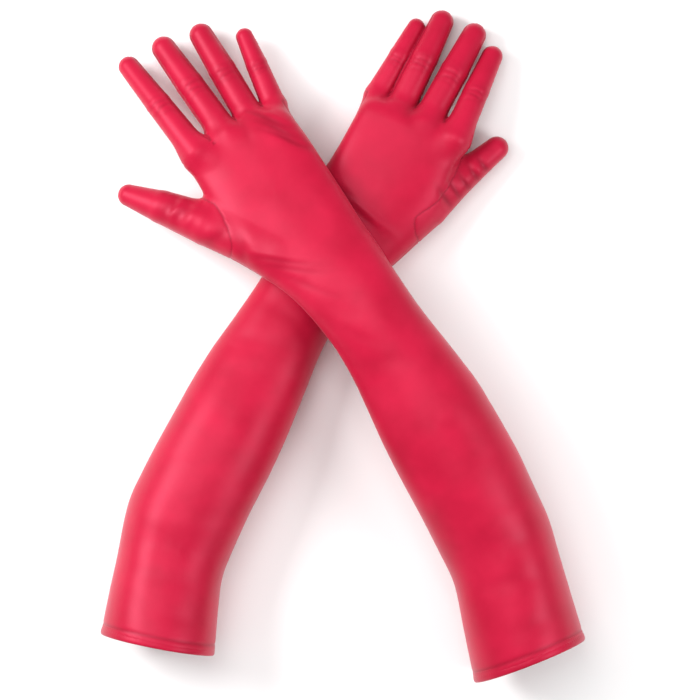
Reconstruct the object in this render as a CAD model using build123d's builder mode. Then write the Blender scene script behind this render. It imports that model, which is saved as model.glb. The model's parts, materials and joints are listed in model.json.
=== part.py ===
from build123d import *
import math
import os

# A pair of opera gloves in stretch satin, laid crossed on a flat surface, backs of both hands up.
# Frame: +Z up, +Y from the hems towards the fingertips, +X towards the hem of the right glove.
# The origin is under the middle of the pair, on the surface that it rests on.
# Each glove has its own flat coordinates: u towards its thumb side and v along the forearm, from
# the elbow towards the fingers. A "back" panel lies over the back of the hand and arm, and a
# "palm" panel lies under it. All sizes are in mm and all angles in degrees.

# ---------- driving dimensions ----------
WALL = 1.2                # the satin with its seam allowances, as one skin
HEM_WALL = 2.2            # the turned hem has a second layer
HEM_DEPTH = 7.0
HEM_RADIUS = 43.2
ELBOW_BEND = 20.0         # how far the upper arm is bent away from the forearm
ELBOW_GAP = 24.5          # from the elbow's axis to each sleeve section, on the centre line
ELBOW_LEAN = 15.0         # those cuts lean, to leave more room on the inner side
WRIST_V = 204.0           # elbow to wrist, along the forearm
WRIST_GAP = 6.5
WRIST_LEAN = -13.0
KNUCKLE_V = 360.0         # elbow to the row of knuckles
KNUCKLE_SLANT = 15.0      # the row runs back towards the little finger
KNUCKLE_GAP = 4.8
HAND_LEAN = 11.3          # the hand's end and the fingers' ends lean, to leave room on the palm
FINGER_LEAN = 15.3
THUMB_GAP = 3.3
CLEARANCE = 0.25          # from a bending section to the pieces beside it
RISE = 0.49               # lifts the pair so that the lower glove's palm just rests on the surface
SEAM = 0.1                # half the room along a side seam, between a back and a palm panel
STRIP_ARC = 50.0          # a fourchette's width, as an angle about its finger
BACK_ARC = 65.0           # from the middle of a finger's back to the edge of its strip

# Sections: distance from the elbow, half width and half thickness.
UPPER_ARM = [(ELBOW_GAP, 38.4, 36.8), (34.0, 39.6, 39.0)]
HEM_JOIN = (42.6, 42.6)
FOREARM = [(ELBOW_GAP, 39.4, 35.4), (52.0, 41.2, 34.6), (105.0, 39.8, 31.2), (152.0, 35.4, 25.8),
           (WRIST_V - WRIST_GAP, 32.2, 22.0)]
HAND = [(WRIST_V + WRIST_GAP, 32.4, 21.0), (240.0, 35.6, 18.2), (275.0, 41.2, 16.6),
        (315.0, 41.2, 15.4), (KNUCKLE_V - KNUCKLE_GAP, 40.6, 13.2)]
ELBOW_SECTION = (38.9, 35.8)
WRIST_SECTION = (32.0, 21.4)

# Radii at the root and near the tip.
RADII = {"index": (9.2, 7.2), "middle": (9.6, 7.5), "ring": (9.4, 7.4), "little": (7.6, 6.2)}
THUMB_RADII = (12.0, 8.4)
THUMB_BASE_RADIUS = 13.0

# The two gloves are a mirrored pair, worn at slightly different angles.
RIGHT = {
    "name": "right",
    "thumb_side": -1,
    "elbow": (115.4, -150.6),
    "heading": 123.2,     # direction of the forearm in plan, from +X
    "hem_offset": 82.0,   # elbow to hem, along the upper arm
    "hem_height": 43.4,
    "lift": [(-80.0, 0.0), (0.0, 13.0), (190.0, 48.5), (225.0, 50.0), (262.0, 44.5), (450.0, 5.0)],
    "centre": [(0.0, 0.0), (52.0, -5.6), (105.0, -9.8), (160.0, -11.9), (204.0, -10.8),
               (250.0, -4.8), (290.0, -1.2), (360.0, -3.4)],
    "wrist_opens": -1,    # this wrist has room to bend towards the back of the hand
    "roots": {"index": 27.6, "middle": 3.4, "ring": -18.2, "little": -37.4},
    "tips": {"index": (34.2, 443.8, 13.6), "middle": (2.6, 448.0, 13.0),
             "ring": (-24.8, 440.0, 14.6), "little": (-48.0, 419.0, 17.0)},
    "thumb": [(19.0, 262.0, 60.0), (53.0, 313.0, 43.0), (91.0, 367.5, 28.0)],
}
LEFT = {
    "name": "left",
    "thumb_side": 1,
    "elbow": (-123.65, -150.6),
    "heading": 61.7,
    "hem_offset": 68.0,
    "hem_height": 44.4,
    "lift": [(-80.0, 0.0), (215.0, 0.0), (300.0, 9.0), (356.0, 9.0), (450.0, 1.0)],
    "centre": [(0.0, 0.0), (52.0, -4.2), (105.0, -5.2), (160.0, -6.0), (204.0, -4.6),
               (250.0, 1.4), (290.0, 7.4), (360.0, 9.6)],
    "wrist_opens": 1,     # this wrist has room to bend towards the palm
    "roots": {"index": 39.4, "middle": 15.8, "ring": -6.0, "little": -25.0},
    "tips": {"index": (33.6, 431.0, 11.0), "middle": (14.2, 440.0, 10.5),
             "ring": (-11.9, 437.0, 10.5), "little": (-25.8, 423.0, 9.5)},
    "thumb": [(36.0, 262.0, 21.0), (62.0, 316.0, 13.4), (77.0, 376.0, 10.0)],
}
FINGERS = ["index", "middle", "ring", "little"]
# Each strip between two fingers: the finger that carries it, and the finger that it faces.
FOURCHETTES = [("index", "middle"), ("middle", "index"), ("middle", "ring"), ("ring", "middle"),
               ("ring", "little"), ("little", "ring")]

os.makedirs("parts", exist_ok=True)


def between(table, v):
    """Read a table of (v, value) pairs at v, in straight runs."""
    for (v0, a), (v1, b) in zip(table, table[1:]):
        if v <= v1:
            return a + (b - a) * (v - v0) / (v1 - v0)
    return table[-1][1]


def world(glove, u, v, z):
    """The point at a glove's flat coordinates and a height."""
    heading = math.radians(glove["heading"])
    side = glove["thumb_side"]
    x = glove["elbow"][0] + v * math.cos(heading) + side * u * math.sin(heading)
    y = glove["elbow"][1] + v * math.sin(heading) - side * u * math.cos(heading)
    return Vector(x, y, z + RISE)


def arm_point(glove, v, half):
    """A point of the centre line, half a thickness above the underside."""
    return world(glove, between(glove["centre"], v), v, between(glove["lift"], v) + half)


def facing(origin, forward):
    """A section plane: z forward along the glove, x level and to the left, y towards the back."""
    return Plane(origin, x_dir=Vector(0, 0, 1).cross(forward), z_dir=forward)


def arm_plane(glove, v, half, reach=7.0):
    """A section plane across the forearm or the hand."""
    forward = arm_point(glove, v + reach, half) - arm_point(glove, v - reach, half)
    return facing(arm_point(glove, v, half), forward.normalized())


def ring(plane, half_width, half_thickness, top):
    """Sketch half a ring of the skin on a plane: the back if top is 1, the palm if it is -1."""
    with BuildSketch(plane) as section:
        Ellipse(half_width, half_thickness)
        Ellipse(half_width - WALL, half_thickness - WALL, mode=Mode.SUBTRACT)
        with Locations((0, top * (50 + SEAM))):
            Rectangle(200, 100, mode=Mode.INTERSECT)
    return section.sketch


def panel(stations, top):
    """A back or palm panel, lofted through its half rings."""
    with BuildPart() as piece:
        loft([ring(plane, width, thickness, top).face() for plane, width, thickness in stations])
    return piece


def solid_tube(stations, inset=0.0):
    """The volume inside a run of sections, drawn in by an inset."""
    with BuildPart() as piece:
        for plane, half_width, half_thickness in stations:
            with BuildSketch(plane):
                Ellipse(half_width - inset, half_thickness - inset)
        loft()
    return piece


def bending_tube(stations):
    """A short full ring of the skin, where the glove bends."""
    with BuildPart() as piece:
        add(solid_tube(stations).part)
        add(solid_tube(stations, WALL).part, mode=Mode.SUBTRACT)
    return piece


def cone_along(start, end, start_radius, end_radius):
    """A solid cone from one point to another."""
    forward = (end - start).normalized()
    with BuildPart() as piece:
        with BuildSketch(facing(start, forward)):
            Circle(start_radius)
        with BuildSketch(facing(end, forward)):
            Circle(end_radius)
        loft()
    return piece


def tube_with_tip(root, tip, radii, start_angle, sweep):
    """
    Part of a finger's skin: a slightly tapered tube with a round closed end, turned about the
    finger from start_angle, which is counted from the back of the finger.
    """
    forward = (tip - root).normalized()
    length = (tip - root).length
    root_radius, tip_radius = radii
    outward = facing(root, forward).y_dir.rotate(Axis((0, 0, 0), forward), start_angle)
    profile = Plane(root, x_dir=forward, z_dir=forward.cross(outward))
    shoulder = length - tip_radius
    diagonal = math.sqrt(0.5)
    inner = tip_radius - WALL
    with BuildPart() as piece:
        with BuildSketch(profile):
            with BuildLine():
                Line((0, root_radius), (shoulder, tip_radius))
                ThreePointArc((shoulder, tip_radius),
                              (shoulder + tip_radius * diagonal, tip_radius * diagonal),
                              (length, 0))
                Line((length, 0), (length - WALL, 0))
                ThreePointArc((length - WALL, 0), (shoulder + inner * diagonal, inner * diagonal),
                              (shoulder, inner))
                Line((shoulder, inner), (0, root_radius - WALL))
                Line((0, root_radius - WALL), (0, root_radius))
            make_face()
        revolve(axis=Axis(root, forward), revolution_arc=sweep)
    return piece


def save(piece, name):
    """Label a finished piece and write its file."""
    piece.part.label = name
    export_step(piece.part, f"parts/{name}.step")
    print(f"{name}: {piece.part.volume / 1000:.2f} cm3")


def lean_factor(angle):
    """How much longer a section is when its plane leans by an angle."""
    return 1.0 / math.cos(math.radians(angle))


def layout(glove):
    """The planes, sections and pivots that a glove's pieces share."""
    side = glove["thumb_side"]
    elbow = arm_point(glove, 0.0, FOREARM[0][2])
    bend = math.radians(glove["heading"] + 180.0 + side * ELBOW_BEND)
    rise = (glove["hem_height"] - elbow.Z) / glove["hem_offset"]
    outwards = Vector(math.cos(bend), math.sin(bend), rise).normalized()
    upper = [(facing(elbow + outwards * d, outwards * -1.0), w, t) for d, w, t in UPPER_ARM]
    join = elbow + outwards * (glove["hem_offset"] - HEM_DEPTH)
    upper.append((facing(join, outwards * -1.0), *HEM_JOIN))
    fore = [(arm_plane(glove, v, t), w, t) for v, w, t in FOREARM]
    hand = [(arm_plane(glove, v, t), w, t) for v, w, t in HAND]

    # the sections beside the elbow lean away from it on the inner side of the bend
    lean = (0, side * ELBOW_LEAN, 0)
    wider = lean_factor(ELBOW_LEAN)
    upper[0] = (upper[0][0].rotated(lean), upper[0][1] * wider, upper[0][2])
    lean = (0, -side * ELBOW_LEAN, 0)
    fore[0] = (fore[0][0].rotated(lean), fore[0][1] * wider, fore[0][2])

    # the sections beside the wrist lean to the side that it can bend to
    lean = glove["wrist_opens"] * WRIST_LEAN
    deeper = lean_factor(WRIST_LEAN)
    fore[-1] = (fore[-1][0].rotated((lean, 0, 0)), fore[-1][1], fore[-1][2] * deeper)
    hand[0] = (hand[0][0].rotated((-lean, 0, 0)), hand[0][1], hand[0][2] * deeper)

    # the row of knuckles
    half = HAND[-1][2]
    knuckles = arm_plane(glove, KNUCKLE_V, half).rotated((0, -side * KNUCKLE_SLANT, 0))
    hand_end = knuckles.offset(-KNUCKLE_GAP).rotated((HAND_LEAN, 0, 0))
    hand[-1] = (hand_end, HAND[-1][1] * lean_factor(KNUCKLE_SLANT), half * lean_factor(HAND_LEAN))
    finger_start = knuckles.offset(KNUCKLE_GAP).rotated((FINGER_LEAN, 0, 0))
    return {
        "elbow": facing(elbow, (outwards * -1.0 + fore[0][0].z_dir).normalized()),
        "outwards": outwards,
        "hem_join": join,
        "upper": upper,
        "fore": fore,
        "hand": hand,
        "wrist": arm_plane(glove, WRIST_V, WRIST_SECTION[1]),
        "knuckles": knuckles,
        "finger_start": finger_start,
        "thumb": [world(glove, *point) for point in glove["thumb"]],
    }


def finger_root(glove, plan, finger):
    """The pivot of a finger, on the row of knuckles."""
    row = plan["knuckles"]
    centre = between(glove["centre"], KNUCKLE_V)
    reach = (glove["roots"][finger] - centre) / math.cos(math.radians(KNUCKLE_SLANT))
    return row.origin + row.x_dir * (-glove["thumb_side"] * reach)


def make_sleeve(glove, plan):
    """The hem band, the sleeve's panels and the two sections that bend."""
    name = glove["name"]
    for label, top in (("back", 1), ("palm", -1)):
        save(panel(plan["upper"], top), f"{name}_upper_arm_{label}")
        save(panel(plan["fore"], top), f"{name}_forearm_{label}")

    with BuildPart() as hem_band:
        with BuildSketch(facing(plan["hem_join"], plan["outwards"])):
            Circle(HEM_RADIUS)
            Circle(HEM_RADIUS - HEM_WALL, mode=Mode.SUBTRACT)
        extrude(amount=HEM_DEPTH)
    save(hem_band, f"{name}_hem_band")

    start, width, thickness = plan["upper"][0]
    end, end_width, end_thickness = plan["fore"][0]
    elbow = bending_tube([(start.offset(CLEARANCE), width, thickness),
                          (plan["elbow"], *ELBOW_SECTION),
                          (end.offset(-CLEARANCE), end_width, end_thickness)])
    save(elbow, f"{name}_elbow_section")

    start, width, thickness = plan["fore"][-1]
    end, end_width, end_thickness = plan["hand"][0]
    wrist = bending_tube([(start.offset(CLEARANCE), width, thickness),
                          (plan["wrist"], *WRIST_SECTION),
                          (end.offset(-CLEARANCE), end_width, end_thickness)])
    save(wrist, f"{name}_wrist_section")


def make_hand(glove, plan):
    """The hand's panels, open where the thumb is set in, and the thumb's own base."""
    name = glove["name"]
    inside, root, tip = plan["thumb"]
    forward = (root - inside).normalized()
    end = root - forward * THUMB_GAP
    opening = cone_along(inside, root, THUMB_BASE_RADIUS - WALL, THUMB_RADII[0] - WALL)
    for label, top in (("back", 1), ("palm", -1)):
        with BuildPart() as hand_panel:
            add(panel(plan["hand"], top).part)
            add(opening.part, mode=Mode.SUBTRACT)
        save(hand_panel, f"{name}_hand_{label}")

    with BuildPart() as thumb_base:
        add(cone_along(inside, end, THUMB_BASE_RADIUS, THUMB_RADII[0]).part)
        add(opening.part, mode=Mode.SUBTRACT)
        add(solid_tube(plan["hand"], -SEAM).part, mode=Mode.SUBTRACT)
    save(thumb_base, f"{name}_thumb_base")

    forward = (tip - root).normalized()
    with BuildPart() as thumb:
        add(tube_with_tip(root, tip, THUMB_RADII, 0, 360).part)
        split(bisect_by=facing(root + forward * THUMB_GAP, forward), keep=Keep.TOP)
    save(thumb, f"{name}_thumb")


def make_finger(glove, plan, finger):
    """A finger's back and palm strips, and the fourchettes on the sides that face a finger."""
    name = glove["name"]
    root = finger_root(glove, plan, finger)
    tip = world(glove, *glove["tips"][finger])
    outer = 90.0 - BACK_ARC
    # angles run from the finger's back towards its left, so towards the thumb on a right glove
    towards_thumb = -glove["thumb_side"]
    fourchette = {1: False, -1: False}
    for owner, faced in FOURCHETTES:
        if owner == finger:
            nearer = FINGERS.index(faced) < FINGERS.index(owner)
            fourchette[towards_thumb if nearer else -towards_thumb] = faced
    left = BACK_ARC if fourchette[1] else BACK_ARC + outer
    right = BACK_ARC if fourchette[-1] else BACK_ARC + outer
    # the palm strip covers what the back strip and the fourchettes leave
    palm_start = left + (STRIP_ARC if fourchette[1] else 0.0)
    palm_sweep = 360.0 - (left + right) - STRIP_ARC * sum(map(bool, fourchette.values()))
    strips = [(f"{finger}_back", -right, right + left), (f"{finger}_palm", palm_start, palm_sweep)]
    if fourchette[1]:
        strips.append((f"fourchette_{finger}_to_{fourchette[1]}", BACK_ARC, STRIP_ARC))
    if fourchette[-1]:
        strips.append((f"fourchette_{finger}_to_{fourchette[-1]}", -90.0 - outer, STRIP_ARC))
    for label, start_angle, sweep in strips:
        with BuildPart() as strip:
            add(tube_with_tip(root, tip, RADII[finger], start_angle, sweep).part)
            split(bisect_by=plan["finger_start"], keep=Keep.TOP)
        save(strip, f"{name}_{label}")


for glove in (RIGHT, LEFT):
    plan = layout(glove)
    make_sleeve(glove, plan)
    make_hand(glove, plan)
    for finger in FINGERS:
        make_finger(glove, plan, finger)
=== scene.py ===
import bpy
import json
import numpy as np
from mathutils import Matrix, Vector


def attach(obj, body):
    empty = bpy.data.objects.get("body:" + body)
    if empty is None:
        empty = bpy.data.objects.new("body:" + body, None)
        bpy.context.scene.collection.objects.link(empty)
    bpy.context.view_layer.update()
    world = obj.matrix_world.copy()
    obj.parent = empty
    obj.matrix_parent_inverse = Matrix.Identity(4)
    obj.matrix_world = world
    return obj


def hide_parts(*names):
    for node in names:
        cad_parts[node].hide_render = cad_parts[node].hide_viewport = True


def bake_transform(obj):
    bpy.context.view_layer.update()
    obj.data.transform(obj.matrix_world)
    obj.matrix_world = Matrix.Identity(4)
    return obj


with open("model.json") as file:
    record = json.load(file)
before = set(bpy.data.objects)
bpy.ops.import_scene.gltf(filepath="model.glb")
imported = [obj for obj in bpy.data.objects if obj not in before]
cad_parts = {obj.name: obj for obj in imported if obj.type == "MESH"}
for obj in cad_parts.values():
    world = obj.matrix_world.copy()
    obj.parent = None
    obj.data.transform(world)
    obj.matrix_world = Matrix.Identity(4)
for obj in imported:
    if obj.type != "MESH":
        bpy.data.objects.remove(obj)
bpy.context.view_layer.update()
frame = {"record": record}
joint_at = {j["name"]: np.array(j["pos_m"]) * 1000
            for j in frame["record"]["behaviour"]["joints"] if "pos_m" in j}
FINGERS = ["index", "middle", "ring", "little"]

# ----------------------------------------------------------------------------------------------
# The worn shape. Each glove is cut from stretch satin and pulled smooth over an arm and a hand, so
# its skin follows them and bridges the hollows between. This is the form that the cloth lies on.
# ----------------------------------------------------------------------------------------------

# Flat coordinates of a glove, in mm: u towards the thumb, v along the forearm from the elbow.
# thumb_side: 1 where the thumb is to the right of the arm's direction, -1 to the left. heading: that
# direction, in degrees from +X. hem: its v at the middle line, and hem_slope its slant. sleeve: v,
# middle u, half width. rise: v, height of the middle. tips: each fingertip. thumb: points of its
# line, each with the radius there.
GLOVES = {
    "right": {
        "thumb_side": -1, "heading": 123.2, "hem": -77.0, "hem_slope": 0.21,
        "sleeve": [(-110, 40, 47), (-78, 28.3, 44.4), (-42, 16, 42), (0, 1, 40.4), (52, -5.7, 41.4),
                   (112, -10.2, 40.4), (160, -12, 34.2), (186, -11.7, 32.3), (214, -10.2, 33.2),
                   (234, -9, 35.6), (252, -5, 38.2), (272, -2.2, 41.6), (290, -1.8, 42.4),
                   (307, -1.7, 42.5), (324, -2.4, 42.0), (345, -2.4, 40.8), (380, -3, 40.2)],
        "rise": [(-110, 42.6), (-77, 43.9), (0, 48.9), (52, 57.8), (105, 64.3), (152, 67.9),
                 (190, 71.4), (225, 70), (262, 62.2), (315, 49.2), (360, 37.4), (380, 33)],
        "tips": {"index": (35.6, 448.3, 13.6), "middle": (6.8, 447.0, 13.0),
                 "ring": (-22.0, 440.0, 14.6), "little": (-48.4, 419.5, 17.0)},
        "thumb": [(20, 266, 60, 15.5), (50, 313, 46, 15.6), (70.4, 341.6, 37, 12.2),
                  (86.0, 362.2, 30.0, 8.0)],
    },
    "left": {
        "thumb_side": 1, "heading": 61.7, "hem": -64.0, "hem_slope": 0.31,
        "sleeve": [(-110, 40, 46), (-63, 24, 43.6), (-31, 12, 41), (0, 0.8, 39.8), (20, -2.8, 41.4),
                   (51, -4.2, 41.1), (82, -4.5, 40.5), (113, -5.2, 39.5), (146, -6.2, 36.4),
                   (172, -6, 33.2), (197, -4.9, 31.2), (218, -3.2, 32.2), (255, 0.8, 35),
                   (287, 6.3, 40), (303, 9.6, 41.6), (319, 9.8, 41.2), (339, 8.4, 39.6),
                   (380, 8.4, 39.6)],
        "rise": [(-110, 46), (-63, 44.9), (0, 36.4), (52, 35.4), (105, 31.9), (152, 26.5),
                 (204, 22.2), (240, 21.4), (275, 23.5), (300, 25.4), (356, 22.9), (380, 20)],
        "tips": {"index": (34.4, 432.5, 11.0), "middle": (16.0, 441.2, 11.0),
                 "ring": (-9.6, 438.4, 11.0), "little": (-23.6, 424.2, 10.0)},
        "thumb": [(30, 262, 19, 14.5), (47, 306, 15.5, 13.6), (57, 337, 14.0, 11.2),
                  (69.5, 368.0, 11.5, 8.6)],
    },
}
# The sleeve and palm: v, half thickness.
DEPTH = [(-110, 44.5), (-77, 43), (-42, 40.6), (0, 36.4), (52, 34.6), (105, 31.2), (152, 25.8),
         (204, 21.4), (240, 18.4), (275, 16.8), (315, 15.8), (360, 14.0), (380, 13.2)]
# Each finger: radius at its first knuckle, at its middle joint and at its tip.
RADII = {"index": (11.0, 9.3, 7.7), "middle": (11.2, 10.3, 8.8), "ring": (11.0, 10.1, 8.6),
         "little": (9.4, 7.9, 6.5)}
KNUCKLE_BOW = 1.6         # how far a finger's middle joint stands above its straight line
STEP = 1.35               # spacing of the woven surface's grid
CLOTH = 0.6               # thickness of the satin


def read(table, v, column=1):
    """The table's value at v: straight runs between its rows, averaged over 16 mm so that no run's
    end shows as a corner."""
    rows = np.array(table, float)
    return sum(np.interp(v + d, rows[:, 0], rows[:, column]) for d in (-8, -4, 0, 4, 8)) / 5


def to_world(name, p):
    """Flat glove coordinates in mm to the row frame in metres: a turn about +Z and a shift."""
    g = GLOVES[name]
    elbow = joint_at[f"{name}_elbow_bend"]
    a, s = np.radians(g["heading"]), g["thumb_side"]
    x = elbow[0] + p[:, 1] * np.cos(a) + s * p[:, 0] * np.sin(a)
    y = elbow[1] + p[:, 1] * np.sin(a) - s * p[:, 0] * np.cos(a)
    return np.stack([x, y, p[:, 2]], 1) / 1000


def to_flat(name, q):
    """The reverse of to_world, for points in mm in the row frame."""
    g = GLOVES[name]
    d = np.atleast_2d(q) - joint_at[f"{name}_elbow_bend"]
    a, s = np.radians(g["heading"]), g["thumb_side"]
    u = s * (d[:, 0] * np.sin(a) - d[:, 1] * np.cos(a))
    v = d[:, 0] * np.cos(a) + d[:, 1] * np.sin(a)
    return np.stack([u, v, np.atleast_2d(q)[:, 2]], 1)


def meet(a, b, soft):
    """Smooth union of two distances: the smaller one, rounded over where they differ by less than
    soft."""
    h = np.clip(0.5 + 0.5 * (b - a) / soft, 0, 1)
    return b + (a - b) * h - soft * h * (1 - h)


def limb(p, chain):
    """Distance to a row of round cones: for each run, the nearest point on its line, less the
    radius there. Runs join with a small rounding."""
    total = None
    for (a, ra), (b, rb) in zip(chain, chain[1:]):
        run = b - a
        t = np.clip(((p - a) @ run) / (run @ run), 0, 1)
        d = np.linalg.norm(p - a - t[:, None] * run, axis=1) - (ra + (rb - ra) * t)
        total = d if total is None else meet(total, d, 0.8)
    return total


def finger_line(name, finger):
    """A finger's chain: from inside the palm, over its first knuckle and middle joint, to its tip."""
    g = GLOVES[name]
    root = to_flat(name, joint_at[f"{name}_{finger}_bend"])[0]
    tip = np.array(g["tips"][finger])
    r0, r1, r2 = RADII[finger]
    way = (tip - root) / np.linalg.norm(tip - root)
    middle = root + (tip - root) * 0.52 + np.array([0, 0, KNUCKLE_BOW])
    inside = root - way * 26
    inside[0] += (read(g["sleeve"], inside[1]) - inside[0]) * 0.35
    inside[2] = read(g["rise"], inside[1]) - 2
    return [(inside, r0 * 0.5), (root, r0 * 0.97), (middle, r1), (tip - way * r2, r2)]


def sleeve_distance(name, p):
    """Distance to the arm and palm: an oval tube about a curved middle line, measured outwards from
    that line, squarer towards the knuckles and rounded off past them. The oval is where the sum of
    both relative offsets, each to a power of 2 to 3, is 1."""
    g = GLOVES[name]
    v = p[:, 1]
    du = p[:, 0] - read(g["sleeve"], v)
    dz = p[:, 2] - read(g["rise"], v)
    reach = np.hypot(du, dz) + 1e-6
    power = 2 + np.clip((v - 240) / 90, 0, 1)
    k = (np.abs(du / read(g["sleeve"], v, 2)) ** power
         + np.abs(dz / read(DEPTH, v)) ** power) ** (1 / power) + 1e-6
    tube = reach * (1 - 1 / k)
    index, little = (to_flat(name, joint_at[f"{name}_{f}_bend"])[0] for f in ("index", "little"))
    slope = (index[1] - little[1]) / (index[0] - little[0])
    # the palm ends 5.7 mm past the index finger's knuckle and 3.6 mm short of the little finger's
    share = np.clip((index[0] - p[:, 0]) / (index[0] - little[0]), 0, 1.4)
    end = (v - index[1] - slope * (p[:, 0] - index[0])) * 0.97 - 5.5 + 9 * share
    return -meet(-tube, -end, 13.0)


def distances(name, p):
    """Distances to the palm and sleeve, each finger and the thumb, one row each."""
    g = GLOVES[name]
    rows = [sleeve_distance(name, p)]
    rows += [limb(p, finger_line(name, f)) for f in FINGERS]
    rows.append(limb(p, [(np.array(c[:3], float), c[3]) for c in g["thumb"]]))
    return np.stack(rows)


def worn(name, p):
    """Distance to the whole glove. Each digit flows into the palm with a wide rounding, and digits
    meet each other in a narrow one, which leaves the grooves between them."""
    d = distances(name, p)
    palm = d[0]
    digits = meet(palm, d[5], 11.0)
    for k in range(1, 5):
        digits = meet(digits, meet(palm, d[k], 12.0), 1.2)
    return digits


def surface(name):
    """Surface nets: a grid of distances, one point in each cell that the surface crosses, placed at
    the mean of its edge crossings, and one four-sided face round each crossed grid edge. The points
    are then drawn to the surface and evened out, in flat coordinates."""
    g = GLOVES[name]
    low, high = np.array([-62, g["hem"] - 34, -6.0]), np.array([104, 458, 112.0])
    axes = [np.arange(a, b, STEP) for a, b in zip(low, high)]
    shape = [len(a) for a in axes]
    field = np.empty(shape, np.float32)
    for i in range(0, shape[1], 24):
        block = np.stack(np.meshgrid(axes[0], axes[1][i:i + 24], axes[2], indexing="ij"), -1)
        field[:, i:i + 24] = worn(name, block.reshape(-1, 3)).reshape(block.shape[:3])
    inside = field < 0
    total = np.zeros([n - 1 for n in shape] + [3], np.float32)
    count = np.zeros([n - 1 for n in shape], np.float32)
    cells = [n - 1 for n in shape]
    faces = []
    crossed = []
    for axis in range(3):
        take = [slice(None)] * 3
        a, b = take.copy(), take.copy()
        a[axis], b[axis] = slice(0, -1), slice(1, None)
        fa, fb = field[tuple(a)], field[tuple(b)]
        cut = inside[tuple(a)] != inside[tuple(b)]
        crossed.append((axis, cut, inside[tuple(a)]))
        t = np.where(cut, fa / np.where(cut, fa - fb, 1), 0)
        others = [k for k in range(3) if k != axis]
        for da in (0, 1):
            for db in (0, 1):
                part = [slice(None)] * 3
                part[others[0]] = slice(da, da + cells[others[0]])
                part[others[1]] = slice(db, db + cells[others[1]])
                c, tt = cut[tuple(part)], t[tuple(part)]
                count += c
                total[..., axis] += np.where(c, tt, 0)
                total[..., others[0]] += c * da
                total[..., others[1]] += c * db
    live = count > 0
    index = np.full(cells, -1, np.int64)
    index[live] = np.arange(live.sum())
    spot = np.argwhere(live)
    points = low + (spot + total[live] / count[live][:, None]) * STEP
    for axis, cut, first in crossed:
        i, j, k = np.nonzero(cut)
        o1, o2 = [(1, 2), (2, 0), (0, 1)][axis]
        corner = np.stack([i, j, k], 1)
        ok = (corner[:, o1] > 0) & (corner[:, o1] < cells[o1])
        ok &= (corner[:, o2] > 0) & (corner[:, o2] < cells[o2])
        corner = corner[ok]
        quad = []
        for d1, d2 in ((1, 1), (0, 1), (0, 0), (1, 0)):
            c = corner.copy()
            c[:, o1] -= d1
            c[:, o2] -= d2
            quad.append(index[c[:, 0], c[:, 1], c[:, 2]])
        quad = np.stack(quad, 1)
        flip = ~first[tuple(np.stack([i, j, k], 1)[ok].T)]
        quad[flip] = quad[flip][:, ::-1]
        faces.append(quad)
    faces = np.concatenate(faces)
    for turn in range(4):
        points = settle(name, points)
        if turn < 3:
            points = relaxed(points, faces)
    return points, faces


def slope_of(name, p):
    """The distance and its gradient, by differences of 0.2 mm each way along each axis."""
    e = 0.2
    grad = np.stack([worn(name, p + e * d) - worn(name, p - e * d) for d in np.eye(3)], 1) / (2 * e)
    return worn(name, p), grad


def settle(name, p):
    """Move points to the surface: twice down the gradient by the distance over its slope."""
    for _ in range(2):
        f, grad = slope_of(name, p)
        p = p - grad * (f / np.maximum((grad ** 2).sum(1), 0.05))[:, None]
    return p


def relaxed(points, faces):
    """Each point moved two thirds of the way to the mean of its neighbours along the faces' edges."""
    a = faces.ravel()
    b = np.roll(faces, -1, axis=1).ravel()
    number = np.bincount(a, minlength=len(points)) + np.bincount(b, minlength=len(points))
    mean = np.stack([np.bincount(a, points[b, k], len(points)) + np.bincount(b, points[a, k], len(points))
                     for k in range(3)], 1) / np.maximum(number, 1)[:, None]
    return points + (mean - points) * 0.66


def normals_of(points, faces):
    """Point normals: the sum of each face's cross product of its diagonals, made unit length."""
    d1 = points[faces[:, 2]] - points[faces[:, 0]]
    d2 = points[faces[:, 3]] - points[faces[:, 1]]
    n = np.cross(d1, d2)
    total = np.stack([np.bincount(faces.ravel(), np.repeat(n[:, k], 4), len(points)) for k in range(3)], 1)
    return total / np.maximum(np.linalg.norm(total, axis=1), 1e-9)[:, None]


# ----------------------------------------------------------------------------------------------
# Folds and seams in the cloth. Satin pulled over a hand lies smooth on the arm, ripples a little
# along it, and gathers in short creases at the finger joints, the thumb and the wrist. Every seam
# is a fine valley where the edges are turned in.
# ----------------------------------------------------------------------------------------------

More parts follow.
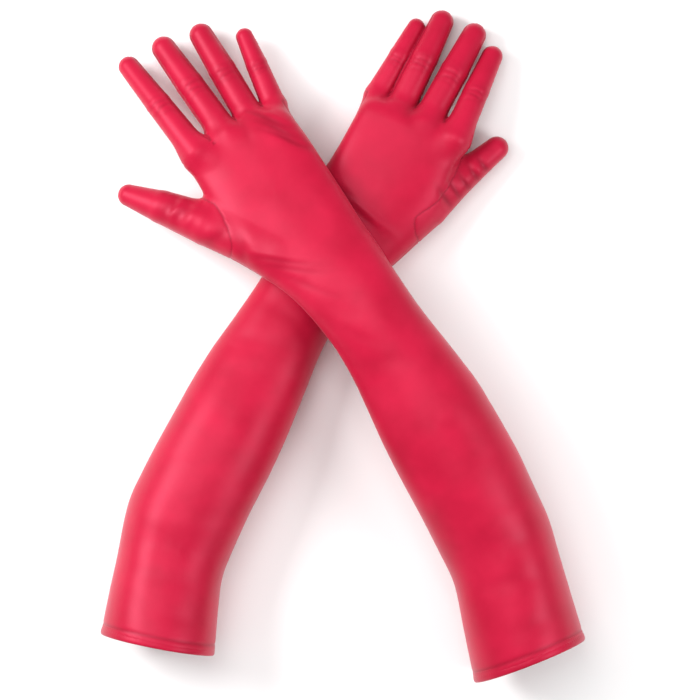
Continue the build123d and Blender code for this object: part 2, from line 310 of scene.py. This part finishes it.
# Fans of folds on the back of the glove. Each fan: how many, u and v of the first, the step in u and
# v to the next, direction in degrees from +v towards +u, length, width and height, in mm. A negative
# height is a valley.
FANS = {
    "right": [
        # pulled from the little finger across the knuckles, valleys and then ridges
        (3, -29, 351, -1.5, -9.5, -137, 27, 2.9, -0.60), (3, -32, 354, -1.5, -9, -137, 27, 3.1, 0.45),
        # hollows below the webs
        (1, 6, 366, 0, 0, 180, 20, 7, -0.9), (1, -11, 357, 0, 0, 180, 16, 5, -0.5),
        # twisted round the thumb, and gathered at its base
        (2, 64, 338, -5, -8, 122, 15, 5.5, -1.0), (2, 61, 334, -5, -11, 125, 16, 5, 0.75),
        (1, 53, 299, 0, 0, 110, 18, 6, -0.8), (1, 55, 306, 0, 0, 110, 18, 7, 0.5),
        (1, 40, 281, 0, 0, 170, 23, 6, -0.8), (1, 31, 280, 0, 0, 175, 23, 8, 0.5),
        # streaks over the wrist
        (2, 20, 261, -2, -8, -120, 38, 3.1, -0.32), (1, 22, 267, 0, 0, -120, 36, 3, 0.3),
        (1, 15, 238, 0, 0, -135, 37, 4, -0.3),
        # long soft dips over the back of the hand, the forearm and the elbow
        (2, -20, 277, 7, 37, 180, 42, 12, -0.5), (1, 6, 190, 0, 0, -135, 31, 6, -0.35),
        (1, -3, 160, 0, 0, -105, 52, 9, -0.4), (2, -7, 4, 10, -26, -100, 60, 10, -0.55),
        (1, -4, 23, 0, 0, -90, 52, 10, 0.5), (1, 8, -55, 0, 0, -85, 46, 10, -0.4)],
    "left": [
        # slanting across the wrist, valleys and then ridges
        (3, -12, 286, 9, -5, 112, 23, 4.3, -0.65), (3, -4, 283, 13, -2, 112, 22, 4.3, 0.5),
        # hollows below the webs and along the index finger's knuckle
        (2, -17, 365, 20, -2, 28, 10, 4, -0.45), (1, 24, 365, 0, 0, 57, 16, 7, -0.5),
        (1, 22, 357, 0, 0, 79, 20, 9, -0.6), (1, 35, 349, 0, 0, 164, 21, 8, -0.4),
        # ribs along the thumb
        (5, 55, 317, 3, 8.7, 126, 13, 2.7, -0.65), (4, 55, 311, 3.3, 12, 126, 14, 2.8, 0.5),
        # long soft dips over the back of the hand, the forearm and the elbow
        (1, 33, 300, 0, 0, 78, 46, 14, -0.5), (1, -11, 165, 0, 0, 85, 41, 8, -0.35),
        (1, -9, 149, 0, 0, 82, 41, 9, 0.3), (2, -4, 2, 6, -21, 84, 59, 10, -0.48),
        (1, -3, 21, 0, 0, 85, 64, 10, 0.45), (1, 26, -38, 0, 0, 89, 44, 9, -0.35),
        (1, -12, 190, 0, 0, 108, 40, 9, -0.4)],
}
# Creases over a finger's middle joint: place along the finger, depth in mm, and slant.
JOINT_CREASES = [(0.42, 0.16, 0.0020), (0.475, 0.34, -0.0012), (0.53, 0.30, 0.0010), (0.585, 0.15, 0.0018)]
RIPPLE = 0.55             # height of the long soft waves in the sleeve, mm
SEAM_DEPTH = 0.32
HEM_DEEP = 6.8            # the turned hem, and how far in its stitches are
HEM_STITCH = 5.6


def waves(p, seed, wavelength, turns=7):
    """Soft waves: the mean of several plane sine waves with seeded directions and phases."""
    rng = np.random.default_rng(seed)
    total = np.zeros(len(p))
    for _ in range(turns):
        way = rng.normal(size=3)
        way *= rng.uniform(0.7, 1.3) * 2 * np.pi / wavelength / np.linalg.norm(way)
        total += np.sin(p @ way + rng.uniform(0, 2 * np.pi))
    return total / turns


def finger_parts(name, finger, p):
    """How far along a finger a point is, from 0 at the root to 1 at the tip, and its offsets from
    the finger's line: level, towards the thumb, and upright."""
    line = finger_line(name, finger)
    root, tip = line[1][0], line[3][0]
    run = tip - root
    way = run / np.linalg.norm(run)
    level = np.array([way[1], -way[0], 0.0])
    level /= np.linalg.norm(level)
    upright = np.cross(level, way)
    upright *= np.sign(upright[2])
    t = (p - root) @ way / np.linalg.norm(run)
    bow = KNUCKLE_BOW * np.clip(1 - np.abs(t - 0.52) / 0.5, 0, 1)
    return t, (p - root) @ level, (p - root) @ upright - bow


def above_hem(name, p):
    """Distance in from the hem's slanted plane, along the arm."""
    g = GLOVES[name]
    return p[:, 1] - g["hem"] - g["hem_slope"] * (p[:, 0] - read(g["sleeve"], g["hem"]))


def relief(name, p, n, d):
    """Height of the cloth above the worn shape, in mm: long waves on the sleeve, the fans of folds
    on the back, creases across each finger's middle joint, and valleys along the seams. Also how deep
    in a crease each point is, from 0 to 1."""
    back = np.clip(n[:, 2] * 1.6, 0, 1)
    arm = np.clip((255 - p[:, 1]) / 40, 0, 1)
    height = RIPPLE * waves(p, 11, 62) * (0.35 + 0.65 * arm)
    height += 0.16 * waves(p, 12, 21) * (1 - 0.6 * arm)
    # painted shade: how deep in a crease or valley each point is; the satin darkens its colour by this
    painted_shade = np.zeros(len(p))
    for number, u, v, du, dv, turn, length, width, tall in FANS[name]:
        a = np.radians(turn)
        for k in range(number):
            right, ahead = p[:, 0] - u - k * du, p[:, 1] - v - k * dv
            along = ahead * np.cos(a) + right * np.sin(a)
            beside = right * np.cos(a) - ahead * np.sin(a) + 0.10 * length * np.sin(along / length * 2.2)
            shape = np.exp(-(along / length * 1.6) ** 2 - (beside / width * 1.4) ** 2)
            height += tall * shape * back
            # a valley's painted shade, stronger for a narrow one
            painted_shade += np.clip(-tall, 0, 0.7) * min(1, (3.2 / width) ** 2) * shape * back
    drawn_in = np.exp(-((above_hem(name, p) - HEM_DEEP - 1.0) / 1.3) ** 2)
    height -= 0.35 * drawn_in
    # painted shade in the dip where the hem draws the sleeve in
    painted_shade += 0.5 * drawn_in
    for k, finger in enumerate(FINGERS, 1):
        t, level, upright = finger_parts(name, finger, p)
        near = (d[k] < 3) * np.clip(upright / 5, 0, 1) * np.clip(1.3 - np.abs(level) / 9, 0, 1)
        for place, tall, lean in JOINT_CREASES:
            arc = 0.00035 * level ** 2 - lean * (1 if k % 2 else -1) * level
            crease = np.exp(-((t - place + arc) / 0.016) ** 2) * near
            height -= tall * crease
            painted_shade += tall * crease
    return height, np.clip(painted_shade, 0, 1)


CUTS = (62.0, 150.0, 246.0)   # where a panel passes from the elbow to the forearm, wrist and hand
KNUCKLE_CUT = 2.0             # how far below its knuckle a finger's strips start
# Where the thumb is let into the hand: v, and u of the seam. Below it there is no thumb piece.
THUMB_LINE = [(268, 80), (276, 56), (284, 46), (294, 40.6), (308, 37.6), (322, 36.6), (334, 38.2),
              (360, 46)]
FINGER_LABEL = 10             # a finger's four strips are numbered from this and 4 times its place
THUMB_LABEL = 40
STRIP_SLOPE = 0.47            # a fourchette's edges, as upright over level from the finger's line
HEM_SHOWS = 3.0               # the panels end inside the turned hem
# What each label is cut from: 0 nothing, 1 back, 2 palm, 3 and 4 the two sides' fourchettes, 5 thumb.
KIND = np.zeros(THUMB_LABEL + 1, int)
KIND[1:9] = [1, 2] * 4
KIND[FINGER_LABEL + 4:FINGER_LABEL + 20] = [1, 2, 3, 4] * 4
KIND[THUMB_LABEL] = 5


def part_labels(name, c):
    """Which panel each point c belongs to, as a number: 0 is past the hem. The sleeve and hand go by
    distance along the arm, the digits by the nearest one past the row of knuckles, and back or palm
    by the side of the middle line. A finger's strips go by the angle about its line."""
    g = GLOVES[name]
    d = distances(name, c)
    index, little = (to_flat(name, joint_at[f"{name}_{f}_bend"])[0] for f in ("index", "little"))
    row = (index[1] - little[1]) / (index[0] - little[0])
    past = c[:, 1] - index[1] - row * (c[:, 0] - index[0]) + KNUCKLE_CUT
    stretch = np.digitize(c[:, 1], CUTS)
    palm = c[:, 2] < read(g["rise"], c[:, 1])
    label = 1 + 2 * stretch + palm
    reach = np.interp(c[:, 1], [300, 332], [6.0, -1.0])
    thumb = (d[5] < d[0] + reach) & (d[5] < d[1:5].min(axis=0)) & (c[:, 0] > read(THUMB_LINE, c[:, 1]))
    finger = 1 + np.argmin(d[1:5], axis=0)
    for k, word in enumerate(FINGERS, 1):
        t, level, upright = finger_parts(name, word, c)
        mine = (past > 0) & (finger == k) & ~thumb
        side = np.where(upright > 0, 0, 1)
        strip = np.abs(upright) < np.abs(level) * STRIP_SLOPE
        if word != "index":
            side = np.where(strip & (level > 0), 2, side)
        if word != "little":
            side = np.where(strip & (level < 0), 3, side)
        label = np.where(mine, FINGER_LABEL + 4 * k + side, label)
    label = np.where(thumb, THUMB_LABEL, label)
    return np.where(above_hem(name, c) < HEM_SHOWS, 0, label)


def seams_of(points, faces, labels):
    """The edges between faces of unlike labels, as pairs of points, one row each."""
    edge = np.stack([faces, np.roll(faces, -1, axis=1)], -1).reshape(-1, 2)
    key = np.sort(edge, axis=1)
    number = key[:, 0] * len(points) + key[:, 1]
    order = np.argsort(number, kind="stable")
    owner = np.repeat(labels, 4)[order]
    number = number[order]
    pair = np.flatnonzero((number[1:] == number[:-1]) & (owner[1:] != owner[:-1]))
    return key[order][pair]


def eased_seams(name, points, faces, labels):
    """Straighten the seams: each point on one moves halfway to the mean of its neighbours along it,
    twelve times over, and back to the surface."""
    edge = seams_of(points, faces, labels)
    a, b = np.concatenate([edge, edge[:, ::-1]]).T
    number = np.bincount(a, minlength=len(points))
    on = number > 0
    moved = points.copy()
    for turn in range(12):
        mean = np.stack([np.bincount(a, moved[b, k], len(points)) for k in range(3)], 1)
        moved[on] += (mean[on] / number[on][:, None] - moved[on]) * 0.5
        if turn % 4 == 3:
            moved[on] = settle(name, moved[on])
    eased = relaxed(moved, faces)
    moved[~on] = settle(name, eased[~on])
    return moved


made = {}
for name in GLOVES:
    points, faces = surface(name)
    labels = part_labels(name, points[faces].mean(1))
    points = eased_seams(name, points, faces, labels)
    normals = normals_of(points, faces)
    height, crease = relief(name, points, normals, distances(name, points))
    sewn = np.unique(seams_of(points, faces, KIND[labels]))
    height[sewn] -= SEAM_DEPTH
    # the seams are darkened too, as painted shade in their valleys
    crease[sewn] = np.maximum(crease[sewn], 0.55)
    points = points + normals * height[:, None]
    low = points[:, 2] < 1.0
    points[low, 2] = np.exp(points[low, 2] - 1.0)  # where it rests, the cloth lies flattened
    made[name] = {"points": points, "faces": faces, "labels": labels, "crease": crease,
                  "normals": normals_of(points, faces)}


def panel(name, label, title, material):
    """One panel as a closed thin shell: its faces, the same faces a cloth's thickness further in and
    turned round, and a rim along its edge. Its shading follows the whole glove's, so that a panel's
    cut end doesn't show. The cloth's own coordinates and the painted shade of its creases go with it."""
    m = made[name]
    faces = m["faces"][m["labels"] == label]
    used, local = np.unique(faces, return_inverse=True)
    local = local.reshape(faces.shape)
    outer, n = m["points"][used], m["normals"][used]
    inner = outer - n * CLOTH
    edge = np.stack([local, np.roll(local, -1, axis=1)], -1).reshape(-1, 2)
    key = np.sort(edge, axis=1)
    _, first, count = np.unique(key, axis=0, return_index=True, return_counts=True)
    rim = edge[first[count == 1]]
    size = len(used)
    rims = np.stack([rim[:, 1], rim[:, 0], rim[:, 0] + size, rim[:, 1] + size], 1)
    every = np.concatenate([local, local[:, ::-1] + size, rims])
    flat = np.concatenate([outer, inner])
    place = to_world(name, flat)
    if GLOVES[name]["thumb_side"] < 0:
        every = every[:, ::-1]
    mesh = bpy.data.meshes.new(title)
    mesh.from_pydata(place, [], every)
    mesh.polygons.foreach_set("use_smooth", np.ones(len(every), bool))
    cloth = mesh.attributes.new("cloth", "FLOAT_VECTOR", "POINT")
    cloth.data.foreach_set("vector", (flat / 1000).astype(np.float32).ravel())
    # the painted shade of the creases, read by the satin to darken its colour
    crease = mesh.attributes.new("crease", "FLOAT", "POINT")
    crease.data.foreach_set("value", np.tile(m["crease"][used], 2).astype(np.float32))
    turned = to_world(name, flat + np.concatenate([n, -n])) - place
    mesh.normals_split_custom_set_from_vertices(turned / np.linalg.norm(turned, axis=1)[:, None])
    piece = bpy.data.objects.new(title, mesh)
    bpy.context.collection.objects.link(piece)
    mesh.materials.append(material)
    return piece


# ----------------------------------------------------------------------------------------------
# The satin: a crimson stretch satin with a broad soft gloss. Long floating yarns run across the
# glove, so the light spreads along it; the creases are darkened with painted shade.
# ----------------------------------------------------------------------------------------------

def satin_weave():
    """A node group: fine slanted yarns and a softer unevenness, as a height, and a slow drift of
    shade, as a value from 0 to 1."""
    group = bpy.data.node_groups.new("satin weave", "ShaderNodeTree")
    group.interface.new_socket("Vector", in_out="INPUT", socket_type="NodeSocketVector")
    group.interface.new_socket("Yarns", in_out="INPUT", socket_type="NodeSocketFloat")
    group.interface.new_socket("Height", in_out="OUTPUT", socket_type="NodeSocketFloat")
    group.interface.new_socket("Shade", in_out="OUTPUT", socket_type="NodeSocketFloat")
    nodes, links = group.nodes, group.links
    start, end = nodes.new("NodeGroupInput"), nodes.new("NodeGroupOutput")
    slant = nodes.new("ShaderNodeMapping")
    slant.inputs["Rotation"].default_value = (0.0, 0.0, 0.45)
    yarn = nodes.new("ShaderNodeTexWave")
    yarn.inputs["Distortion"].default_value = 1.2
    yarn.inputs["Detail"].default_value = 2.0
    yarn.inputs["Detail Scale"].default_value = 3.0
    slub = nodes.new("ShaderNodeTexNoise")
    slub.inputs["Scale"].default_value = 420.0
    slub.inputs["Detail"].default_value = 4.0
    drift = nodes.new("ShaderNodeTexNoise")
    drift.inputs["Scale"].default_value = 34.0
    drift.inputs["Detail"].default_value = 3.0
    both = nodes.new("ShaderNodeMath")
    both.operation = "MULTIPLY_ADD"
    both.inputs[1].default_value = 0.6
    links.new(start.outputs["Vector"], slant.inputs["Vector"])
    links.new(slant.outputs["Vector"], yarn.inputs["Vector"])
    links.new(start.outputs["Yarns"], yarn.inputs["Scale"])
    links.new(start.outputs["Vector"], slub.inputs["Vector"])
    links.new(start.outputs["Vector"], drift.inputs["Vector"])
    links.new(yarn.outputs["Fac"], both.inputs[0])
    links.new(slub.outputs["Fac"], both.inputs[2])
    links.new(both.outputs["Value"], end.inputs["Height"])
    links.new(drift.outputs["Fac"], end.inputs["Shade"])
    return group


weave = satin_weave()


def satin(title, deep, bright, rough):
    """A satin: a deep colour drifting to a brighter one, with painted shade darkening it in the
    creases, a broad gloss stretched by the yarns and a pink sheen at the edges."""
    material = bpy.data.materials.new(title)
    material.use_nodes = True
    nodes, links = material.node_tree.nodes, material.node_tree.links
    surface_shader = nodes["Principled BSDF"]
    place = nodes.new("ShaderNodeAttribute")
    place.attribute_name = "cloth"
    crease_shade_amount = nodes.new("ShaderNodeAttribute")
    crease_shade_amount.attribute_name = "crease"
    woven = nodes.new("ShaderNodeGroup")
    woven.node_tree = weave
    woven.inputs["Yarns"].default_value = 620.0
    shade = nodes.new("ShaderNodeValToRGB")
    shade.color_ramp.elements[0].position = 0.32
    shade.color_ramp.elements[0].color = (*deep, 1)
    shade.color_ramp.elements[1].position = 0.72
    shade.color_ramp.elements[1].color = (*bright, 1)
    # painted shade: the colour is mixed towards a deep red where the crease attribute marks a crease or
    # seam
    crease_shade_colour = nodes.new("ShaderNodeMix")
    crease_shade_colour.data_type = "RGBA"
    crease_shade_colour.inputs[7].default_value = (deep[0] * 0.45, deep[1] * 0.3, deep[2] * 0.4, 1)
    gloss = nodes.new("ShaderNodeMapRange")
    gloss.inputs["To Min"].default_value = rough - 0.05
    gloss.inputs["To Max"].default_value = rough + 0.07
    bump = nodes.new("ShaderNodeBump")
    bump.inputs["Strength"].default_value = 0.16
    bump.inputs["Distance"].default_value = 0.00012
    links.new(place.outputs["Vector"], woven.inputs["Vector"])
    links.new(woven.outputs["Shade"], shade.inputs["Fac"])
    links.new(shade.outputs["Color"], crease_shade_colour.inputs[6])
    links.new(crease_shade_amount.outputs["Fac"], crease_shade_colour.inputs[0])
    links.new(crease_shade_colour.outputs[2], surface_shader.inputs["Base Color"])
    links.new(woven.outputs["Shade"], gloss.inputs["Value"])
    links.new(gloss.outputs["Result"], surface_shader.inputs["Roughness"])
    links.new(woven.outputs["Height"], bump.inputs["Height"])
    links.new(bump.outputs["Normal"], surface_shader.inputs["Normal"])
    surface_shader.inputs["Specular IOR Level"].default_value = 0.5
    surface_shader.inputs["Specular Tint"].default_value = (1.0, 0.32, 0.45, 1)
    surface_shader.inputs["Anisotropic"].default_value = 0.35
    surface_shader.inputs["Sheen Weight"].default_value = 0.14
    surface_shader.inputs["Sheen Roughness"].default_value = 0.45
    surface_shader.inputs["Sheen Tint"].default_value = (1.0, 0.35, 0.45, 1)
    return material


DEEP = (0.41, 0.004, 0.028)
BRIGHT = (0.50, 0.006, 0.038)

# ----------------------------------------------------------------------------------------------
# The sleeve and hand panels: the two long pieces of the glove's cut, back and palm, here divided
# where the arm bends. They are sewn together along both sides of the arm.
# ----------------------------------------------------------------------------------------------
back_satin = satin("back satin", DEEP, BRIGHT, 0.40)
# the palm satin is the back satin with its deep colour darkened, painted shade for the side that faces down
palm_satin = satin("palm satin", tuple(0.94 * c for c in DEEP), BRIGHT, 0.42)
# Each length of panel: its name, the CAD node that it stands for, and v of its two ends.
SLEEVE_PARTS = [("upper_arm", ["upper_arm_{}"], -70.0, CUTS[0]), ("forearm", ["forearm_{}"], *CUTS[:2]),
                ("wrist", [], *CUTS[1:]), ("hand", ["hand_{}"], CUTS[2], 360.0)]

for name in GLOVES:
    for k, (part, nodes_for, low, high) in enumerate(SLEEVE_PARTS):
        for side, word in enumerate(("back", "palm")):
            piece = panel(name, 1 + 2 * k + side, f"{name}_{part}_{word}_panel",
                          palm_satin if side else back_satin)
            v = np.linspace(low, high, 20)
            half = (read(GLOVES[name]["sleeve"], v, 2) + read(DEPTH, v)).mean() / 2 / 1000
            for node in nodes_for:
                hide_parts(f"{name}_{node.format(word)}")
            if part == "upper_arm":
                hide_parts(f"{name}_elbow_section")
                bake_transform(piece)
            elif part == "wrist":
                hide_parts(f"{name}_wrist_section")
                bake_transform(piece)
            else:
                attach(piece, f"{name}_{part}")

# ----------------------------------------------------------------------------------------------
# The thumb: cut in one piece, folded round the thumb and let into the palm.
# ----------------------------------------------------------------------------------------------
# the thumb satin is the back satin's colour a little darker, as painted shade
shaded_thumb_satin = satin("thumb satin", tuple(0.96 * c for c in DEEP), BRIGHT, 0.41)
for name in GLOVES:
    piece = panel(name, THUMB_LABEL, f"{name}_thumb_piece", shaded_thumb_satin)
    chain = GLOVES[name]["thumb"]
    root = to_flat(name, joint_at[f"{name}_thumb_swing"])[0]
    way = np.array(chain[-1][:3], float) - root
    way /= np.linalg.norm(way)
    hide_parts(f"{name}_thumb", f"{name}_thumb_base")
    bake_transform(piece)

# ----------------------------------------------------------------------------------------------
# The fingers: a back and a palm strip each, and fourchettes, the narrow strips that join them
# along the sides that face another finger.
# ----------------------------------------------------------------------------------------------
# the fourchette satin is the back satin darkened, painted shade for the strips between the fingers
fourchette_satin = satin("fourchette satin", tuple(0.90 * c for c in DEEP),
                         tuple(0.92 * c for c in BRIGHT), 0.43)
# Which finger each side of a finger faces, by the number of the strip on that side.
FACING = {"index": {3: "middle"}, "middle": {2: "index", 3: "ring"}, "ring": {2: "middle", 3: "little"},
          "little": {2: "ring"}}
for name in GLOVES:
    for k, finger in enumerate(FINGERS, 1):
        line = finger_line(name, finger)
        root, tip = line[1][0], line[3][0]
        way = (tip - root) / np.linalg.norm(tip - root)
        strips = {0: (f"{finger}_back", "back_satin", back_satin),
                  1: (f"{finger}_palm", "palm_satin", palm_satin)}
        for side, faced in FACING[finger].items():
            strips[side] = (f"fourchette_{finger}_to_{faced}", "fourchette_satin", fourchette_satin)
        for side, (node, slot, material) in strips.items():
            piece = panel(name, FINGER_LABEL + 4 * k + side, f"{name}_{node}_piece", material)
            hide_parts(f"{name}_{node}")
            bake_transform(piece)

# ----------------------------------------------------------------------------------------------
# The hem: the sleeve's end is folded in on itself and held by a row of stitches, which pull it
# into small dimples.
# ----------------------------------------------------------------------------------------------
# the hem satin is the back satin's deep colour darkened, as painted shade at the turned end of the sleeve
shaded_hem_satin = satin("hem satin", tuple(0.9 * c for c in DEEP), BRIGHT, 0.40)
STITCHES = 108
AROUND = 6 * STITCHES     # points round the band
# The band's outline: how far in from the hem, and how far out from the sleeve.
BAND = [(HEM_DEEP + 0.4, -0.4), (HEM_DEEP + 0.3, 0.30), (HEM_DEEP - 0.2, 0.55), (HEM_STITCH, 0.22),
        (4.7, 0.62), (3.2, 0.88), (1.6, 0.92), (0.4, 0.70), (-0.35, 0.15), (-0.4, -0.45), (0.1, -1.0),
        (1.6, -1.35), (HEM_DEEP - 0.4, -1.3), (HEM_DEEP + 0.4, -1.0)]
TURNS = np.linspace(0, 2 * np.pi, AROUND, endpoint=False)


def hem_ring(name, inwards, outwards, turns):
    """A ring round the sleeve, inwards mm from the hem and outwards mm from its surface: an ellipse
    about the middle line, on a plane slanted like the hem, found by eight rounds of correction."""
    g = GLOVES[name]
    middle = read(g["sleeve"], g["hem"])
    u = np.full(len(turns), middle)
    for _ in range(8):
        v = g["hem"] + inwards + g["hem_slope"] * (u - middle)
        a, b = read(g["sleeve"], v, 2), read(DEPTH, v)
        r = 1 / np.sqrt((np.cos(turns) / a) ** 2 + (np.sin(turns) / b) ** 2) + outwards
        u = read(g["sleeve"], v) + r * np.cos(turns)
    return np.stack([u, v, read(g["rise"], v) + r * np.sin(turns)], 1)


def grid_piece(title, rings, material, name):
    """A closed surface from rings of equal count: each ring joins the next, and the last the first."""
    count, around = len(rings), rings.shape[1]
    i, j = np.meshgrid(np.arange(count), np.arange(around), indexing="ij")
    a, b = i * around + j, i * around + (j + 1) % around
    c, e = ((i + 1) % count) * around + (j + 1) % around, ((i + 1) % count) * around + j
    faces = np.stack([a, b, c, e], -1).reshape(-1, 4)
    flat = rings.reshape(-1, 3)
    mesh = bpy.data.meshes.new(title)
    mesh.from_pydata(to_world(name, flat), [], faces if GLOVES[name]["thumb_side"] > 0 else faces[:, ::-1])
    mesh.polygons.foreach_set("use_smooth", np.ones(len(faces), bool))
    cloth = mesh.attributes.new("cloth", "FLOAT_VECTOR", "POINT")
    cloth.data.foreach_set("vector", (flat / 1000).astype(np.float32).ravel())
    piece = bpy.data.objects.new(title, mesh)
    bpy.context.collection.objects.link(piece)
    mesh.materials.append(material)
    return piece


for name in GLOVES:
    dimple = np.cos(TURNS * STITCHES) * 0.5 + 0.5
    rings = []
    for inwards, outwards in BAND:
        near = np.exp(-((inwards - HEM_STITCH) / 1.1) ** 2) * (outwards > 0)
        rings.append(hem_ring(name, inwards, outwards - 0.28 * near * dimple, TURNS))
    band = grid_piece(f"{name}_hem_band_piece", np.array(rings), shaded_hem_satin, name)
    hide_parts(f"{name}_hem_band")
    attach(band, f"{name}_upper_arm")

# ----------------------------------------------------------------------------------------------
# The hem's stitches: polyester thread in the satin's colour, short slanting stitches sunk in the
# band.
# ----------------------------------------------------------------------------------------------
thread = satin("thread", (0.40, 0.006, 0.03), (0.55, 0.01, 0.05), 0.5)
THREAD = 0.17                        # the thread's radius, mm
SWELL = [0.25, 0.85, 1.0, 0.85, 0.25]  # a stitch's radius along it, as a share of the thread's
SIDES = 6
for name in GLOVES:
    # each stitch is a small barrel: rings of points along a chord of the band
    where = (np.arange(STITCHES) + 0.5) / STITCHES * 2 * np.pi
    half = 0.36 * 2 * np.pi / STITCHES
    ends = [hem_ring(name, HEM_STITCH + s * 0.12, 0.26, where + s * half) for s in (-1, -0.5, 0, 0.5, 1)]
    centre = to_world(name, np.stack(ends).reshape(-1, 3)).reshape(len(SWELL), STITCHES, 3)
    along = centre[-1] - centre[0]
    along /= np.linalg.norm(along, axis=1)[:, None]
    out = centre[2] - centre[2].mean(0)
    out -= along * (out * along).sum(1)[:, None]
    out /= np.linalg.norm(out, axis=1)[:, None]
    side = np.cross(along, out)
    spin = np.linspace(0, 2 * np.pi, SIDES, endpoint=False)
    tube = np.stack([c[:, None] + (np.cos(spin)[None, :, None] * out[:, None]
                                   + np.sin(spin)[None, :, None] * side[:, None]) * THREAD / 1000 * w
                     for c, w in zip(centre, SWELL)], 1)
    i, j = np.meshgrid(np.arange(len(SWELL) - 1), np.arange(SIDES), indexing="ij")
    beside = (j + 1) % SIDES
    quads = np.stack([i * SIDES + j, i * SIDES + beside, (i + 1) * SIDES + beside, (i + 1) * SIDES + j], -1)
    caps = np.stack([np.arange(SIDES)[::-1], (len(SWELL) - 1) * SIDES + np.arange(SIDES)])
    first = np.arange(STITCHES)[:, None, None] * len(SWELL) * SIDES
    all_quads = (quads.reshape(-1, 4)[None] + first).reshape(-1, 4)
    all_caps = (caps[None] + first).reshape(-1, SIDES)
    mesh = bpy.data.meshes.new(f"{name}_hem_stitches")
    mesh.from_pydata(tube.reshape(-1, 3), [], [*all_quads.tolist(), *all_caps.tolist()])
    mesh.shade_smooth()
    stitches = bpy.data.objects.new(f"{name}_hem_stitches", mesh)
    bpy.context.collection.objects.link(stitches)
    mesh.materials.append(thread)
    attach(stitches, f"{name}_upper_arm")

# ----------------------------------------------------------------------------------------------
# The floor, the lights and the camera: a pale table top, large soft lights to both sides and above,
# and a long lens looking straight down.
# ----------------------------------------------------------------------------------------------
bpy.ops.mesh.primitive_plane_add(size=6.0, location=(0, 0, -0.0006))
floor = bpy.context.object
floor.name = "floor"
paper = bpy.data.materials.new("pale paper")
paper.use_nodes = True
paper.node_tree.nodes["Principled BSDF"].inputs["Base Color"].default_value = (0.93, 0.93, 0.93, 1)
paper.node_tree.nodes["Principled BSDF"].inputs["Roughness"].default_value = 0.85
floor.data.materials.append(paper)

world = bpy.data.worlds.new("studio")
world.use_nodes = True
world.node_tree.nodes["Background"].inputs["Color"].default_value = (1, 1, 1, 1)
world.node_tree.nodes["Background"].inputs["Strength"].default_value = 0.50
bpy.context.scene.world = world
bpy.context.scene.view_settings.view_transform = "Standard"

# Each light: its name, place, width in metres and power in watts.
LIGHTS = [("left softbox", (-1.1, 0.45, 0.95), 0.7, 21.0), ("right softbox", (1.0, -0.25, 0.9), 0.5, 7.0),
          ("top softbox", (-0.25, 0.3, 1.7), 1.0, 11.0)]
for title, spot, size, power in LIGHTS:
    lamp = bpy.data.lights.new(title, "AREA")
    lamp.shape = "SQUARE"
    lamp.size = size
    lamp.energy = power
    holder = bpy.data.objects.new(title, lamp)
    bpy.context.collection.objects.link(holder)
    holder.location = spot
    aim = np.array([0.0, 0.0, 0.03]) - np.array(spot)
    holder.rotation_euler = Vector(aim).to_track_quat("-Z", "Y").to_euler()

camera_data = bpy.data.cameras.new("camera")
camera_data.lens = 211.0
camera_data.sensor_width = 36.0
camera_data.clip_end = 20.0
camera = bpy.data.objects.new("camera", camera_data)
bpy.context.collection.objects.link(camera)
camera.location = (0.0052, -0.0066, 3.0)
bpy.context.scene.camera = camera
